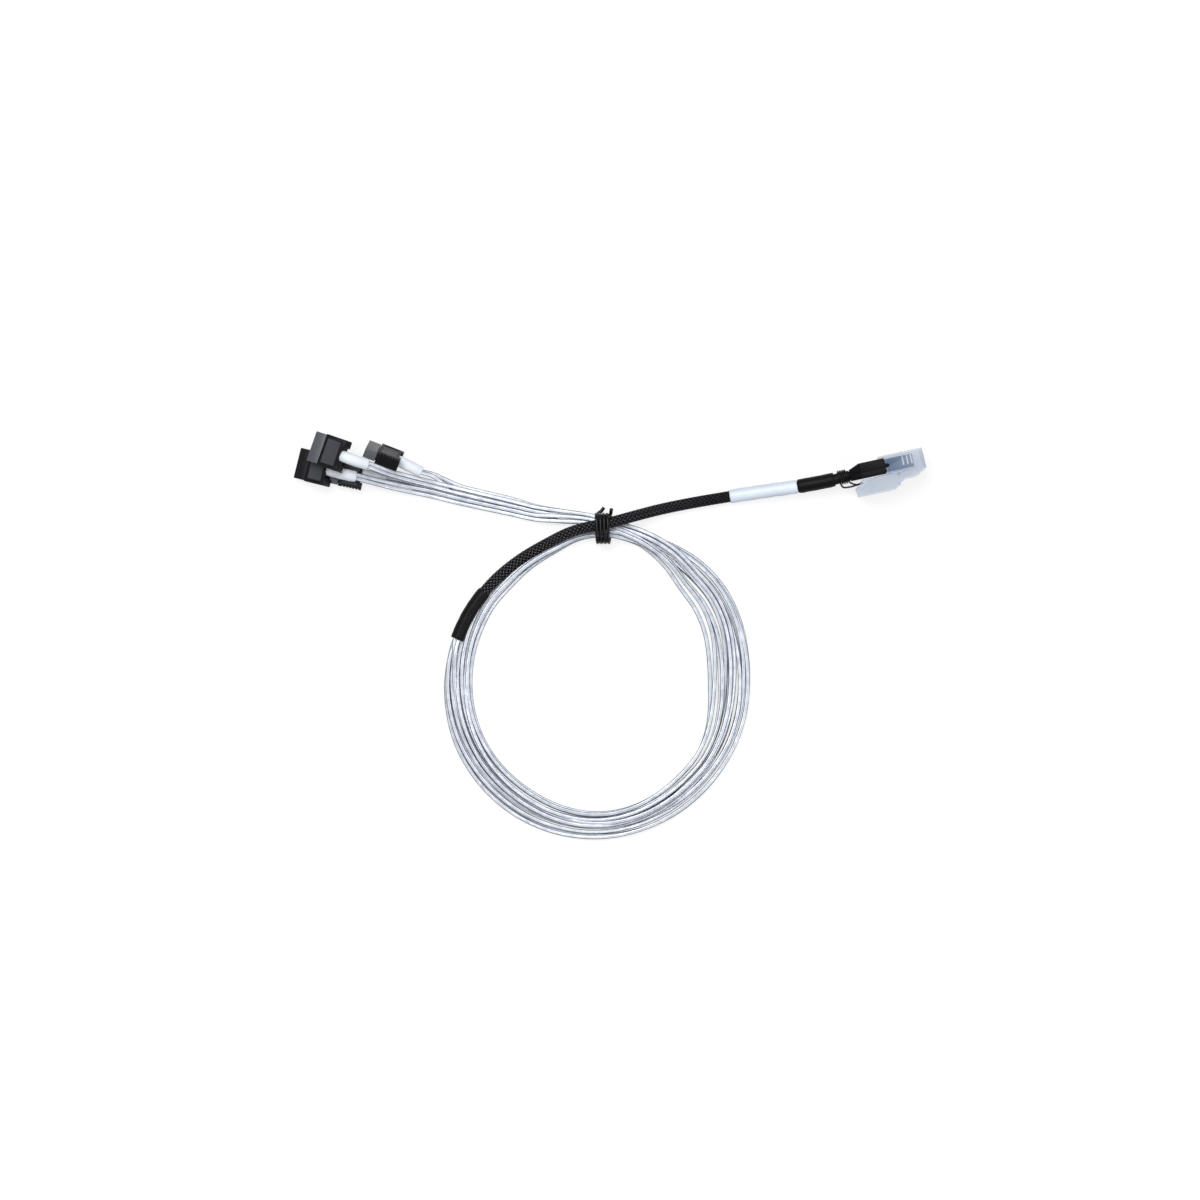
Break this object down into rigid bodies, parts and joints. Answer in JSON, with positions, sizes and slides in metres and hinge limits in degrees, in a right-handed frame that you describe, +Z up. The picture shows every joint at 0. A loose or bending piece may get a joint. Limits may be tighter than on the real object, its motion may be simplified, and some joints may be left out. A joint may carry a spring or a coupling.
{
  "type": "mini sas breakout cable",
  "caption": "Computer cable with a wide multi-lane plug under a dust cap, a sleeved trunk, a tied coil of flat pairs and a pile of small drive plugs.",
  "frame": {"origin": "on the table under the middle of the box round the plugs, the sleeve and the tie", "axes": "+Z up from the table, +X from the pile of drive plugs towards the dust cap, +Y away from the coil"},
  "size_m": [0.2838, 0.1821, 0.0215],
  "materials": {
    "black_plastic": "fine grained black moulding",
    "grey_black_plastic": "satin grey-black moulding",
    "milky_plastic": "milky, half clear, smooth",
    "black_shrink": "satin heat-shrunk tube",
    "white_shrink": "satin white heat-shrunk tube",
    "pale_label": "bare pale label film",
    "black_braid": "open braid of black filaments",
    "black_cord": "satin coated wire and cord",
    "silver_jacket": "silvery film over the foil",
    "spring_steel": "thin bent strip",
    "gold_contact": "gold-plated",
    "green_card": "green board with gold pads"
  },
  "bodies": {
    "root": {"backshell_upper": "black_plastic", "backshell_lower": "black_plastic", "nose_housing": "black_plastic", "plug_a_rear_cover": "black_plastic", "plug_b_rear_cover": "black_plastic", "plug_c_rear_cover": "black_plastic", "plug_d_rear_cover": "black_plastic", "plug_a_housing": "grey_black_plastic", "plug_b_housing": "grey_black_plastic", "plug_c_housing": "grey_black_plastic", "plug_d_housing": "grey_black_plastic", "dust_cap": "milky_plastic", "breakout_shrink_tube": "black_shrink", "host_shrink_tube": "black_shrink", "neck_tube": "black_shrink", "plug_a_marker_tube": "white_shrink", "plug_b_marker_tube": "white_shrink", "plug_c_marker_tube": "white_shrink", "plug_d_marker_tube": "white_shrink", "label_sleeve": "pale_label", "braided_sleeve": "black_braid", "coil_tie": "black_cord", "neck_binding": "black_cord", "coil_of_pairs": "silver_jacket", "cable_core": "silver_jacket", "pair_a1": "silver_jacket", "pair_a2": "silver_jacket", "pair_b1": "silver_jacket", "pair_b2": "silver_jacket", "pair_c1": "silver_jacket", "pair_c2": "silver_jacket", "pair_d1": "silver_jacket", "pair_d2": "silver_jacket", "latch_spring": "spring_steel", "plug_a_contact_set": "gold_contact", "plug_b_contact_set": "gold_contact", "plug_c_contact_set": "gold_contact", "plug_d_contact_set": "gold_contact", "paddle_card": "green_card"}
  },
  "joints": []
}
